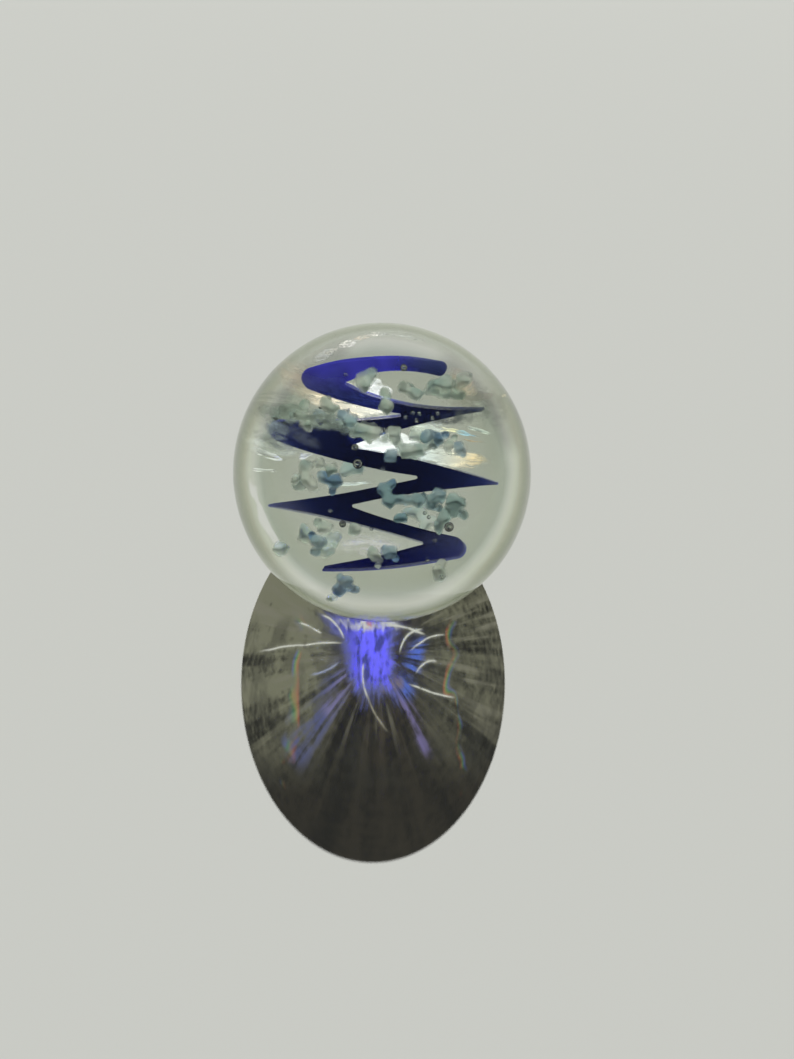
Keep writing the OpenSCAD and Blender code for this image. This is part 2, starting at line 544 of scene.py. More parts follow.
@dataclass(frozen=True)
class GatheredLight:
    """The colours, lines and patterns of the light in the ball's own shadow."""

    # How fine the patterns are round the beam, and then across it and down it.
    fibres: float = 4.0
    threads: float = 13.0
    strands: Span = (24.0, 6.0)
    # How fine the others are, in lumps to the metre.
    clouds: float = 420.0
    grains: float = 1500.0
    wanders: float = 230.0
    sways: Span = (240.0, 300.0)
    shade: Colour = (0.005, 0.005, 0.003)
    rays: Colour = (0.11, 0.09, 0.06)
    flank: Colour = (0.27, 0.27, 0.195)
    fans: Colour = (0.30, 0.29, 0.23)
    halo: Colour = (0.20, 0.22, 0.62)
    core: Colour = (0.26, 0.24, 1.8)
    depths: Colour = (0.08, 0.09, 0.40)
    spectrum: Stops = (
        (0.00, (0.05, 0.05, 0.04)), (0.20, (0.75, 0.18, 0.10)), (0.40, (0.60, 0.50, 0.14)),
        (0.55, (0.12, 0.55, 0.22)), (0.75, (0.12, 0.20, 0.70)), (1.00, (0.05, 0.05, 0.04)),
    )
    wisps: tuple[Streak, ...] = (
        Streak((-0.20, -0.04), (-0.60, -0.60), 0.02, 0.15, (0.13, 0.15, 0.38)),
        Streak((-0.20, -0.10), (-0.38, -0.36), 0.0, 0.09, (0.30, 0.27, 0.56)),
        Streak((0.14, -0.10), (0.40, -0.58), -0.02, 0.07, (0.26, 0.22, 0.52)),
        Streak((0.36, 0.12), (0.20, -0.28), 0.0, 0.10, (0.12, 0.22, 0.90)),
        Streak((0.02, -0.22), (0.24, -0.16), 0.0, 0.05, (0.30, 0.24, 0.26)),
    )
    crest: Streak = Streak((-0.34, 0.16), (0.20, 0.16), 0.0, 0.034)
    lines: tuple[Streak, ...] = (
        Streak((0.04, 0.15), (0.40, 0.10), 0.02, 0.014),
        Streak((-0.44, 0.22), (-0.25, 0.06), 0.03, 0.013),
        Streak((-0.24, 0.04), (-0.90, -0.01), -0.02, 0.010),
        Streak((-0.62, 0.17), (-0.41, 0.09), 0.01, 0.010),
        Streak((-0.28, -0.06), (-0.50, -0.14), 0.02, 0.011, (0.45, 0.50, 0.75)),
        Streak((0.18, -0.02), (0.38, 0.14), 0.05, 0.013),
        Streak((0.26, 0.00), (0.56, 0.10), 0.03, 0.010),
        Streak((0.30, -0.13), (0.48, -0.06), 0.03, 0.012),
        Streak((0.24, -0.18), (0.60, -0.26), -0.01, 0.010),
        Streak((-0.09, -0.06), (-0.05, -0.27), -0.02, 0.012),
        Streak((-0.07, -0.22), (0.10, -0.44), -0.02, 0.012, (0.45, 0.42, 0.34)),
        Streak((-0.08, 0.30), (-0.10, 0.10), 0.0, 0.018),
        Streak((0.06, 0.30), (0.05, 0.10), 0.0, 0.018),
        Streak((-0.07, 0.24), (-0.05, 0.12), 0.0, 0.030, (0.85, 0.30, 0.30)),
    )
    beyond: Colour = (0.95, 0.95, 0.93)
    through_air: Colour = (0.78, 0.78, 0.78)


class Beam:
    """Paints the light that the ball gathers and throws into its own shadow, layer on layer.

    Places are where a ray passes the ball, square to the beam and in shares of its radius.
    """

    def __init__(self, tree: Tree, places: Socket, light: GatheredLight) -> None:
        """Sets out the places, and the patterns that break up the layers.

        Args:
            tree: The material's tree.
            places: The ball's own coordinates.
            light: The colours and lines to paint.
        """
        self.tree = tree
        self.light = light
        self.colour: object = light.shade
        side = tree.along(places, BEAM_SIDE / RADIUS)
        rise = tree.along(places, BEAM_UP / RADIUS)
        self.reach = tree.length(side, rise)
        around = [tree.math("DIVIDE", way, self.reach) for way in (side, rise)]
        rays = tree.vector(*around, tree.times(self.reach, 0.14))
        self.fibre = tree.noise(rays, light.fibres, 5.0, 0.4)
        self.thread = tree.noise(rays, light.threads, 3.0, 0.3)
        self.cloud = tree.noise(places, light.clouds, 4.0)
        self.grain = tree.noise(places, light.grains, 4.0)
        self.wander = tree.noise(places, light.wanders, 1.0, 0.2)
        level, upright = (tree.noise(places, scale) for scale in light.sways)
        self.near = (tree.swayed(side, level, 0.03), tree.swayed(rise, upright, 0.03))
        self.side = tree.swayed(side, level, 0.10)
        self.rise = tree.swayed(rise, tree.noise(places, light.sways[1], 2.0, 0.6), 0.08)
        self.out = tree.unsigned(self.side)
        fine = tree.scaled(self.thread, 1.2, tree.times(self.grain, 0.6))
        self.rough = tree.math("ADD", self.cloud, fine)
        drawn = map(tree.times, (self.side, self.rise), light.strands)
        self.strands = tree.noise(tree.vector(*drawn), 1.0, 3.0, 0.5)

    def paint(self, amount: Socket, colour: object) -> None:
        """Lays so much of a colour over the layers so far."""
        self.colour = self.tree.blend(amount, self.colour, colour)

    def shade(self) -> None:
        """Paints a brown-grey shade, finely rayed, and lighter to both sides."""
        tree, light = self.tree, self.light
        mottle = tree.scaled(self.thread, 0.35, tree.times(self.fibre, 0.65))
        mottle = tree.swayed(mottle, self.grain, 0.35)
        height = tree.fit(self.rise, -0.75, -0.10)
        upper = tree.scaled(height, 0.75, 0.25)
        self.paint(tree.times(tree.fit(mottle, 0.38, 0.66), upper), light.rays)
        left = tree.scaled(tree.fit(self.side, 0.1, -0.3), 0.7, 0.9)
        flank = tree.times(tree.fit(self.out, 0.15, 0.6), height, left)
        flank = tree.times(flank, tree.fit(mottle, 0.30, 0.60))
        self.paint(tree.math("MINIMUM", flank, 1.0), light.flank)
        fan = tree.times(tree.fit(self.thread, 0.52, 0.66), tree.fit(self.reach, 0.18, 0.40))
        self.paint(tree.times(fan, tree.fit(self.rise, -0.60, -0.15), 0.8), light.fans)

    def bows(self) -> None:
        """Paints thin bows of spectral colour left and right."""
        tree = self.tree
        across = tree.math("ADD", self.out, tree.scaled(self.wander, 0.34, -0.77))
        bow = tree.ramp(tree.scaled(across, 15.0, 0.5), self.light.spectrum)
        arched = tree.band(self.rise, (0.24, 0.12), (-0.80, -0.55))
        self.paint(tree.times(arched, tree.fit(self.cloud, 0.42, 0.60), 0.45), bow)

    def blot(self) -> None:
        """Paints the gathered blue light: a ragged, stranded blot with wisps below it."""
        tree, light = self.tree, self.light
        top, height = 0.14, 0.36
        fall = tree.scaled(self.rise, -1 / height, top / height)
        over = tree.unsigned(tree.scaled(fall, -0.12, tree.math("ADD", self.side, 0.11)))
        over = tree.math("DIVIDE", over, tree.scaled(fall, -0.09, 0.21))
        blot = tree.math("MAXIMUM", over, tree.unsigned(tree.scaled(fall, 1.9, -0.85)))
        ragged = tree.scaled(self.rough, 0.8, tree.math("SUBTRACT", blot, 0.32))
        broken = tree.fit(self.rough, 1.15, 1.58)
        rayed = tree.scaled(tree.fit(self.thread, 0.42, 0.60), 0.7, 0.3)
        for wisp in light.wisps:
            mask = tree.streak(self.side, self.rise, wisp)
            self.paint(tree.times(mask, broken, rayed), wisp.colour)
        self.paint(tree.fit(ragged, 2.3, 1.7), light.halo)
        knots = tree.scaled(self.strands, 0.6, tree.times(self.grain, 0.4))
        bright = tree.scaled(tree.fit(self.side, -0.26, -0.08), 0.65, 0.35)
        blue = tree.blend(tree.times(tree.fit(knots, 0.40, 0.56), bright), light.depths, light.core)
        self.paint(tree.fit(ragged, 1.95, 1.55), blue)

    def lines(self) -> None:
        """Paints fine white lines, each with a soft glow, below a bright edge that drips."""
        tree, light = self.tree, self.light
        crest = tree.streak(self.side, tree.swayed(self.rise, self.strands, 0.14), light.crest)
        self.paint(tree.times(crest, tree.fit(self.cloud, 0.25, 0.50)), light.crest.colour)
        flicker = tree.times(tree.fit(self.grain, 0.20, 0.50), tree.fit(self.cloud, 0.24, 0.46))
        for line in light.lines:
            glow = tree.streak(*self.near, replace(line, width=3 * line.width))
            glow = tree.times(glow, tree.times(glow, 0.14))
            sharp = tree.times(tree.streak(*self.near, line), flicker)
            self.paint(tree.math("MAXIMUM", sharp, glow), line.colour)

    def painted(self) -> Socket:
        """Paints all layers.

        Returns:
            The colour that a lamp's light keeps on its way through.
        """
        tree, light = self.tree, self.light
        self.shade()
        self.bows()
        self.blot()
        self.lines()
        far_end = tree.times(tree.fit(self.rise, 0.68, 0.84), tree.fit(self.out, 0.70, 0.5))
        self.paint(far_end, light.beyond)
        self.paint(tree.within(), WHITE)
        self.paint(tree.fit(tree.stored("air")["Fac"], 0.0, 0.3), light.through_air)
        return self.colour


@dataclass(frozen=True)
class ClearGlass:
    """The clear body glass: faintly green, a little wavy, its rim painted with rings of light and
    shade.
    """

    ior: float = 1.5
    tint: Colour = (0.80, 0.84, 0.74)
    density: float = 16.0
    sway: float = 0.02 * MM
    # Lumps to the metre in its skin, in its painted rings, and in the painted pale thread of light
    # at its lower left.
    waves: float = 170.0
    ripples: float = 150.0
    strays: float = 330.0
    # The tint that dims the reflections at the ball's lower front: painted shade.
    shaded_reflection: Colour = (0.10, 0.10, 0.12)
    # Painted light that brightens the lowest part of the rim.
    painted_sill_light: Colour = (0.90, 0.95, 0.80)
    # The colour of the painted shade in the bubbles' dark rims.
    bubble_rim_shade: Colour = (0.02, 0.02, 0.03)
    light: GatheredLight = GatheredLight()
    # The rim's painted rings of light and shade, at its sides and its ends: how far the surface
    # turns from the eye, and how much light comes in.
    sides: Stops = (
        (0.00, (0.41, 0.46, 0.38)), (0.20, (0.42, 0.46, 0.37)), (0.35, (0.33, 0.38, 0.28)),
        (0.43, (0.31, 0.37, 0.28)), (0.47, (0.48, 0.54, 0.44)), (0.51, (0.66, 0.70, 0.60)),
        (0.56, (0.68, 0.74, 0.56)), (0.63, (0.37, 0.39, 0.25)), (0.70, (0.19, 0.22, 0.12)),
        (0.80, (0.10, 0.12, 0.07)), (0.92, (0.16, 0.18, 0.11)),
    )
    poles: Stops = (
        (0.00, (0.48, 0.52, 0.44)), (0.39, (0.50, 0.54, 0.49)), (0.43, (0.57, 0.61, 0.59)),
        (0.50, (0.86, 0.88, 0.86)), (0.55, (1.00, 1.00, 0.97)), (0.60, (0.80, 0.82, 0.74)),
        (0.66, (0.50, 0.54, 0.45)), (0.74, (0.27, 0.31, 0.20)), (0.82, (0.30, 0.35, 0.20)),
        (0.92, (0.45, 0.50, 0.30)),
    )
    # How much of the rings is lost to painted shade at the ball's upper shoulders.
    shoulder_shade: Stops = greys(
        (0.40, 0.00), (0.44, 0.30), (0.48, 0.50), (0.51, 0.55), (0.55, 0.48),
        (0.59, 0.38), (0.64, 0.22), (0.69, 0.00), (0.78, 0.05), (0.88, 0.35),
    )

    def rim(self, tree: Tree, places: Socket, turned: Socket) -> Socket:
        """Builds the painted rings of light and shade in the rim.

        Args:
            tree: The material's tree.
            places: The ball's own coordinates.
            turned: How far the surface turns from the eye.

        Returns:
            The glass's colour.
        """
        up = tree.along(places, UPWARD / RADIUS)
        across = tree.along(places, ACROSS / RADIUS)
        steep = tree.math("DIVIDE", up, tree.length(up, across))
        wavy = tree.scaled(tree.noise(places, self.ripples, 2.0, 0.3), 0.10, turned)
        wavy = tree.math("SUBTRACT", wavy, 0.05)
        ends = tree.fit(tree.unsigned(up), 0.45, 0.80)
        ring = tree.blend(ends, tree.ramp(wavy, self.sides), tree.ramp(wavy, self.poles))
        # Painted shade: the rings darken at the upper shoulders.
        shoulder = tree.band(steep, (0.22, 0.42), (0.97, 0.90))
        ring = tree.blend(tree.times(shoulder, tree.ramp(wavy, self.shoulder_shade)), ring, BLACK)
        # Painted light: the rim's lowest part grows brighter.
        painted_sill_light = tree.times(tree.fit(up, -0.60, -0.85), tree.fit(wavy, 0.74, 0.88), 0.6)
        ring = tree.blend(painted_sill_light, ring, self.painted_sill_light)
        # A painted pale thread of light runs through the rim at its lower left.
        stray = tree.scaled(tree.noise(places, self.strays, 2.0, 0.5), 0.30, turned)
        thread = tree.fit(tree.unsigned(tree.math("SUBTRACT", stray, 0.66)), 0.045, 0.01)
        lower_left = tree.band(steep, (-0.08, -0.18), (-0.68, -0.56))
        lower_left = tree.times(lower_left, tree.fit(across, -0.2, -0.4))
        ring = tree.blend(tree.times(thread, lower_left), ring, WHITE)
        return tree.blend(tree.within(), ring, WHITE)

    def with_air(self, tree: Tree, glass: Socket, turned: Socket) -> Socket:
        """Draws painted shade as a dark rim round the bubbles, and lets the seeds fade.

        Args:
            tree: The material's tree.
            glass: The glass's shader.
            turned: How far the surface turns from the eye.

        Returns:
            The shader.
        """
        air = tree.stored("air")["Fac"]
        # Painted shade: a dark rim where a bubble's surface turns from the eye.
        rim_shade = tree.times(tree.fit(turned, 0.16, 0.46), tree.times(air, 0.85))
        body = tree.mix(rim_shade, glass, tree.shader("Transparent", Color=self.bubble_rim_shade))
        seed = tree.times(tree.fit(air, 0.0, 0.5), tree.math("SUBTRACT", 1.0, air))
        return tree.mix(seed, body, tree.shader("Transparent"))

    def material(self) -> bpy.types.Material:
        """Makes the material.

        Returns:
            The material.
        """
        material, tree = new_material("clear_glass")
        places = tree.places()
        normal = tree.bump(tree.noise(places, self.waves, 1.0), self.sway)
        turned = tree.turned(Normal=normal)
        # Painted shade: the reflections grow dimmer towards the lower front.
        low = tree.fit(tree.along(places, UPWARD / RADIUS), -0.20, -0.42)
        glass = tree.glass(
            self.ior,
            Base_Color=self.rim(tree, places, turned),
            Normal=normal,
            Specular_Tint=tree.blend(low, WHITE, self.shaded_reflection),
        )
        beam = tree.shader("Transparent", Color=Beam(tree, places, self.light).painted())
        ray = tree.add("ShaderNodeLightPath").outputs
        passing = tree.math("MAXIMUM", ray["Is Shadow Ray"], ray["Is Diffuse Ray"])
        body = self.with_air(tree, glass, turned)
        tree.finish(tree.mix(passing, body, beam), self.tint, self.density)
        return material


@dataclass(frozen=True)
class CobaltGlass:
    """The ribbon's deep blue glass: near black where thick, with painted ultramarine light at its
    top and painted shade low down.
    """

    ior: float = 1.01
    tint: Colour = (0.18, 0.24, 0.47)
    density: float = 1000.0
    skin: Colour = (0.26, 0.34, 0.85)
    tips: Colour = (0.28, 0.30, 0.90)
    # Painted shade: the darker blue of the ribbon's lower part.
    shaded_foot: Colour = (0.07, 0.09, 0.70)
    # A darker blue at the upper right.
    dusk: Colour = (0.11, 0.14, 0.44)
    # Painted light: the blue that the lamps light on the top and a little of the edges.
    glow: Colour = (0.055, 0.05, 0.50)
    # Lumps to the metre in its borders of colour and in its patches of painted light.
    wanders: float = 400.0
    patches: float = 260.0
    # How far the painted light's normal tips up the lean.
    lift: float = 0.6

    def lit_crown(
        self, tree: Tree, across: Socket, rise: Socket, far: Socket, wander: Socket
    ) -> Socket:
        """Masks the parts with painted light: the top, and a little of the edges.

        Args:
            tree: The material's tree.
            across: Place from side to side.
            rise: Place up and down.
            far: Distance from the middle, which wanders a little.
            wander: How much it wanders.

        Returns:
            The mask.
        """
        patchy = tree.fit(tree.noise(tree.places(), self.patches, 2.0, 0.4), 0.36, 0.62)
        lit_crown = tree.fit(tree.math("ADD", rise, wander), 0.32, 0.46)
        aside = tree.unsigned(tree.math("ADD", across, 0.20))
        lit_crown = tree.times(lit_crown, tree.fit(aside, 0.36, 0.10), tree.scaled(patchy, 0.70, 0.25))
        ends = tree.times(tree.fit(far, 0.45, 0.65), tree.fit(tree.unsigned(rise), 0.28, 0.14))
        left_half = tree.times(patchy, tree.fit(across, 0.15, 0.0))
        edge = tree.times(tree.fit(tree.turned(), 0.60, 0.95), 0.3)
        edge = tree.times(edge, tree.math("MAXIMUM", left_half, ends))
        return tree.math("MAXIMUM", lit_crown, edge)

    def material(self) -> bpy.types.Material:
        """Makes the material.

        Returns:
            The material.
        """
        material, tree = new_material("cobalt_glass")
        places = tree.places()
        across = tree.along(places, ACROSS / RADIUS)
        rise = tree.along(places, UPWARD / RADIUS)
        wander = tree.scaled(tree.noise(places, self.wanders, 3.0), 0.18, -0.09)
        far = tree.math("ADD", tree.length(rise, across), wander)
        hue = tree.blend(tree.fit(far, 0.3, 0.6), self.skin, self.tips)
        # Painted shade: darker towards the bottom.
        hue = tree.blend(tree.fit(rise, -0.25, -0.42), hue, self.shaded_foot)
        # A darker blue at the upper right.
        upper_right = tree.times(tree.fit(rise, 0.20, 0.32), tree.fit(across, 0.0, 0.22))
        glass = tree.glass(self.ior, Base_Color=tree.blend(upper_right, hue, self.dusk))
        # Painted light: a lamp-lit blue on the top and a little of the edges.
        lit = tree.shader("Diffuse", Color=self.glow, Normal=tree.tipped(UPWARD * self.lift))
        lit_crown = self.lit_crown(tree, across, rise, far, wander)
        tree.finish(tree.mix(lit_crown, glass, lit), self.tint, self.density)
        return material


@dataclass(frozen=True)
class FritGlass:
    """Half-melted frit: cloudy, soft at its edges, and partly see-through."""

    name: str
    pale: Colour
    deep: Colour
    drift: Colour
    cloud: float = 650.0
    # How far its normals are tipped out of the show face and up the lean.
    outward: float = 3.0
    lift: float = 1.9

    def material(self) -> bpy.types.Material:
        """Makes the material.

        Returns:
            The material.
        """
        material, tree = new_material(self.name)
        inputs = {"Scale": self.cloud, "Pale": self.pale, "Deep": self.deep}
        melt = tree.add("ShaderNodeGroup", inputs, node_tree=melt_group()).outputs
        drifts = tree.fit(tree.noise(tree.places(), 0.5 * self.cloud, 2.0, 0.3), 0.48, 0.62)
        colour = tree.blend(tree.times(drifts, 0.75), melt["Colour"], self.drift)
        normal = tree.tipped(FACING * self.outward + UPWARD * self.lift)
        body = tree.cloudy(colour, 0.35, Roughness=0.7, Normal=normal)
        edge = tree.fit(tree.turned(), 0.02, 0.66)
        thin = tree.times(tree.math("SUBTRACT", 1.0, melt["Mask"]), 0.4)
        fade = tree.math("MINIMUM", tree.math("ADD", edge, thin), 1.0)
        tree.finish(tree.mix(fade, body, tree.shader("Transparent")))
        return material


@dataclass(frozen=True)
class SilverVeil:
    """Fine air or dust in the glass, in streaks or in patches, and partly see-through; it also
    carries painted highlights and glints.
    """

    name: str = "silver_veil"
    run: float = 1.8 * MM
    fine: float = 0.28 * MM
    gaps: Span = (0.34, 0.56)
    crumbs: float = 1400.0

    def material(self) -> bpy.types.Material:
        """Makes the material.

        Returns:
            The material.
        """
        material, tree = new_material(self.name)
        places = tree.places()
        tint = tree.stored("tint")
        axes = (ACROSS / self.run, UPWARD / self.fine, FACING / self.fine)
        drawn = tree.vector(*(tree.along(places, axis) for axis in axes))
        streaks = tree.noise(drawn, 1.0, 4.0, 0.6)
        ragged = tree.scaled(tree.noise(places, self.crumbs, 3.0), 0.8, -0.4)
        edge = tree.fit(tree.math("ADD", tree.stored("rim")["Fac"], ragged), 0.95, 0.4)
        cover = tree.times(tree.fit(streaks, *self.gaps), edge, tint["Alpha"])
        body = tree.cloudy(tint["Color"], 0.12, Roughness=0.6)
        tree.finish(tree.mix(cover, tree.shader("Transparent"), body))
        return material


# -------------------- The marble --------------------


@dataclass
class GlassBody:
    """The clear ball with its bubbles and seeds."""

    sway: float = 0.03 * MM
    lump: float = 5 * MM
    round_enough: float = 0.97
    largest_bubble: float = 1.0 * MM
    largest_seed: float = 0.15 * MM
    faint: float = 0.4
    ball_splits: int = 7
    void_splits: int = 4
    finish: ClearGlass = field(default_factory=ClearGlass)

    def ball(self) -> bpy.types.Object:
        """Shapes the ball, whose skin sinks a little here and there.

        Returns:
            The ball.
        """
        ball = add_ball(self.ball_splits, RADIUS)
        displace(ball, "hand_turned", self.lump, -self.sway, 0.0)
        round_off(ball)
        return ball

    def void(self, shell: Shell) -> bpy.types.Object:
        """Shapes one bubble, whose faces point into it.

        Args:
            shell: The bubble's shell in the CAD.

        Returns:
            The bubble.
        """
        void = add_ball(self.void_splits, shell.radius, shell.centre)
        settle(void)
        with editing(void):
            bpy.ops.mesh.flip_normals()
        round_off(void)
        air = void.data.attributes.new("air", "FLOAT", "POINT")
        shows = 1.0 if shell.radius > self.largest_seed else self.faint
        air.data.foreach_set("value", [shows] * len(void.data.vertices))
        return void

    def build(self) -> bpy.types.Object:
        """Builds the ball with its bubbles.

        Returns:
            The ball.
        """
        parts = [self.ball()]
        for shell in shells_of("clear_ball"):
            if shell.roundness > self.round_enough and shell.radius < self.largest_bubble:
                parts.append(self.void(shell))
        ball = join_all(parts, "glass_body")
        dress(ball, self.finish.material())
        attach(ball, "root")
        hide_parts("clear_ball")
        LOG.info("glass_body: %d bubbles, %d faces", len(parts) - 1, len(ball.data.polygons))
        return ball


class Frit(Enum):
    """The two frits, each with its CAD node, its slot and its pale, deep and drifting colours."""

    SAGE = (
        "sage_frit", "sage_frit_glass",
        (0.98, 1.0, 0.90), (0.60, 0.72, 0.64), (0.50, 0.68, 0.67),
    )
    SLATE = (
        "slate_frit", "slate_frit_glass",
        (0.60, 0.76, 0.82), (0.22, 0.36, 0.54), (0.42, 0.60, 0.58),
    )


@dataclass
class MeltedFrit:
    """One colour of frit, its grains run together into soft lumps."""

    frit: Frit
    voxel: float = 0.09 * MM
    ripple: float = 0.10 * MM
    lump: float = 0.5 * MM

    def build(self) -> bpy.types.Object:
        """Builds the lumps.

        Returns:
            The lumps.
        """
        node, slot, *colours = self.frit.value
        activate(frame["nodes"][node])
        bpy.ops.object.duplicate()
        lumps = bpy.context.object
        lumps.name = node + "_melt"
        with editing(lumps):
            bpy.ops.mesh.remove_doubles(threshold=WELD)
            bpy.ops.mesh.normals_make_consistent(inside=False)
        finish_with(lumps, "REMESH", mode="VOXEL", voxel_size=self.voxel)
        finish_with(lumps, "SMOOTH", factor=0.8, iterations=24)
        displace(lumps, node + "_run", self.lump, self.ripple, 0.0)
        finish_with(lumps, "SMOOTH", factor=0.5, iterations=3)
        round_off(lumps)
        dress(lumps, FritGlass(node + "_glass", *colours).material())
        lumps.visible_shadow = False
        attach(lumps, "root")
        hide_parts(node)
        LOG.info("%s: %d faces", lumps.name, len(lumps.data.polygons))
        return lumps


@dataclass(frozen=True)
class Veil:
    """One veil of fine air, dust or painted light: its middle and half size in millimetres, its
    turn and tip in degrees.

    Its cover says how thickly it lies. Its end has its start's colour where no other is given.
    """

    middle: tuple[float, float, float]
    half: Span
    turn: float
    tip: float
    cover: float
    start: Colour
    end: Colour | None = None


# Trapped air behind and round the ribbon, shown as painted highlights: bright white patches between
# the folds, warm and prismatic glints, a glint on a crease at the upper right, fine white lines at
# the left, and some grey haze.
AIR_VEILS_AND_HIGHLIGHTS = (
    Veil((-1.0, 4.6, -3.6), (1.1, 1.0), 0, 58, 2.0, (1.06, 1.06, 1.12)),
    Veil((-2.3, 3.9, -4.0), (3.2, 1.5), -8, 55, 1.6, (0.92, 0.84, 0.76), WHITE),
    Veil((-4.3, 4.3, -3.6), (1.6, 1.3), -30, 50, 0.7, (0.62, 0.54, 0.46), (0.90, 0.80, 0.70)),
    Veil((-0.2, 1.9, -4.0), (2.4, 1.3), 2, 60, 2.5, (1.06, 1.06, 1.10)),
    Veil((-0.4, -3.9, -3.0), (2.2, 0.9), 5, 35, 0.45, (0.95, 0.90, 0.88)),
    Veil((3.5, 1.45, -3.6), (2.2, 1.1), -4, 60, 1.6, (0.82, 0.88, 0.92), (1.0, 0.76, 0.42)),
    Veil((3.4, 2.95, -2.5), (0.7, 0.13), -6, 55, 2.0, (1.0, 0.98, 0.80), (1.0, 0.95, 0.62)),
    Veil((4.3, 2.80, -2.5), (0.9, 0.15), -12, 50, 1.0, (0.62, 0.86, 0.95), (0.36, 0.62, 0.90)),
    Veil((4.75, 2.45, -2.5), (0.7, 0.10), -4, 50, 1.4, (1.0, 0.72, 0.40)),
    Veil((5.0, 3.0, -2.5), (0.8, 0.14), -20, 50, 1.1, (0.90, 0.96, 0.92)),
    Veil((2.4, 2.9, -3.0), (1.3, 0.6), 3, 50, 0.9, (0.80, 0.84, 0.82)),
    Veil((-6.4, 3.2, -0.8), (1.8, 1.5), 0, 30, 0.35, (0.46, 0.47, 0.44)),
    Veil((-6.5, 0.55, 0.0), (1.0, 0.16), -14, 40, 1.6, WHITE),
    Veil((-4.45, 0.8, 0.0), (0.6, 0.12), 26, 40, 1.0, WHITE),
    Veil((-6.8, -0.3, 0.0), (0.8, 0.14), 0, 40, 1.3, WHITE),
    Veil((-1.9, -0.6, -3.0), (1.5, 0.2), 12, 40, 0.8, (0.9, 0.95, 0.92)),
    Veil((-6.2, 1.1, -2.0), (1.6, 0.9), -10, 40, 0.35, (0.9, 0.94, 0.94), (0.8, 0.84, 0.84)),
    Veil((-4.4, 7.2, 4.0), (0.9, 0.5), 40, 40, 0.5, (0.9, 0.92, 0.92)),
    Veil((8.0, 6.6, 4.8), (0.6, 0.16), 40, 40, 2.0, (1.0, 0.9, 0.75)),
)

# Grey haze of fine dust round the ribbon, with darker patches, and a warm patch of painted light at
# the upper right.
HAZE = (
    Veil((-7.2, 3.2, 1.5), (1.0, 0.8), 0, 25, 0.6, (0.46, 0.52, 0.47)),
    Veil((-5.7, 3.2, 2.5), (1.5, 0.8), -5, 25, 0.9, (0.46, 0.52, 0.47), (0.42, 0.48, 0.44)),
    Veil((-3.9, 2.95, 2.5), (1.6, 0.75), -4, 25, 1.0, (0.42, 0.48, 0.44), (0.36, 0.42, 0.40)),
    Veil((-2.1, 2.7, 2.5), (1.4, 0.6), -8, 25, 1.0, (0.36, 0.42, 0.40), (0.42, 0.48, 0.44)),
    Veil((-0.6, 2.35, 2.5), (1.2, 0.5), -10, 25, 0.8, (0.42, 0.48, 0.44), (0.46, 0.52, 0.47)),
    Veil((-6.5, 2.1, 2.2), (1.1, 0.8), -24, 20, 0.8, (0.44, 0.50, 0.60), (0.30, 0.34, 0.48)),
    Veil((-5.0, 1.9, 2.9), (1.6, 0.5), -24, 20, 0.4, (0.24, 0.27, 0.38), (0.14, 0.16, 0.26)),
    Veil((6.2, 4.6, 1.0), (1.1, 1.5), -30, 20, 0.25, (0.42, 0.44, 0.39)),
    Veil((-6.3, 1.35, 0.5), (1.7, 0.5), -18, 15, 0.45, (0.38, 0.41, 0.39)),
    Veil((3.5, 3.7, 1.5), (1.5, 0.45), 8, 15, 0.6, (0.10, 0.12, 0.15), (0.26, 0.29, 0.29)),
    Veil((4.6, 4.15, 1.5), (1.5, 0.6), 10, 20, 0.22, (0.22, 0.25, 0.27), (0.50, 0.54, 0.51)),
    Veil((3.8, 5.45, -2.0), (1.3, 0.55), -35, 35, 0.5, (0.84, 0.70, 0.56), (0.80, 0.68, 0.56)),
    Veil((4.3, 4.75, -2.5), (1.6, 0.9), -4, 25, 0.45, (0.46, 0.43, 0.38), (0.54, 0.51, 0.45)),
)

# Painted glints near the top of the ball: small streaks of white, warm and cool light.
PAINTED_GLINTS = (
    Veil((-3.1, 8.3, 5.0), (0.8, 0.55), 20, 40, 1.5, (1.0, 0.98, 0.94), WHITE),
    Veil((-1.3, 9.3, 5.0), (0.9, 0.35), 8, 40, 1.3, (1.0, 0.96, 0.90), (0.9, 0.96, 1.0)),
    Veil((-2.2, 8.9, 5.0), (0.9, 0.30), 16, 40, 0.7, (1.0, 0.86, 0.74), (1.0, 0.95, 0.80)),
    Veil((0.9, 9.3, 5.0), (1.3, 0.25), -4, 40, 0.6, (0.92, 0.96, 0.92)),
    Veil((-4.0, 7.7, 5.0), (0.7, 0.35), 34, 40, 0.7, (1.0, 0.98, 0.90)),
)


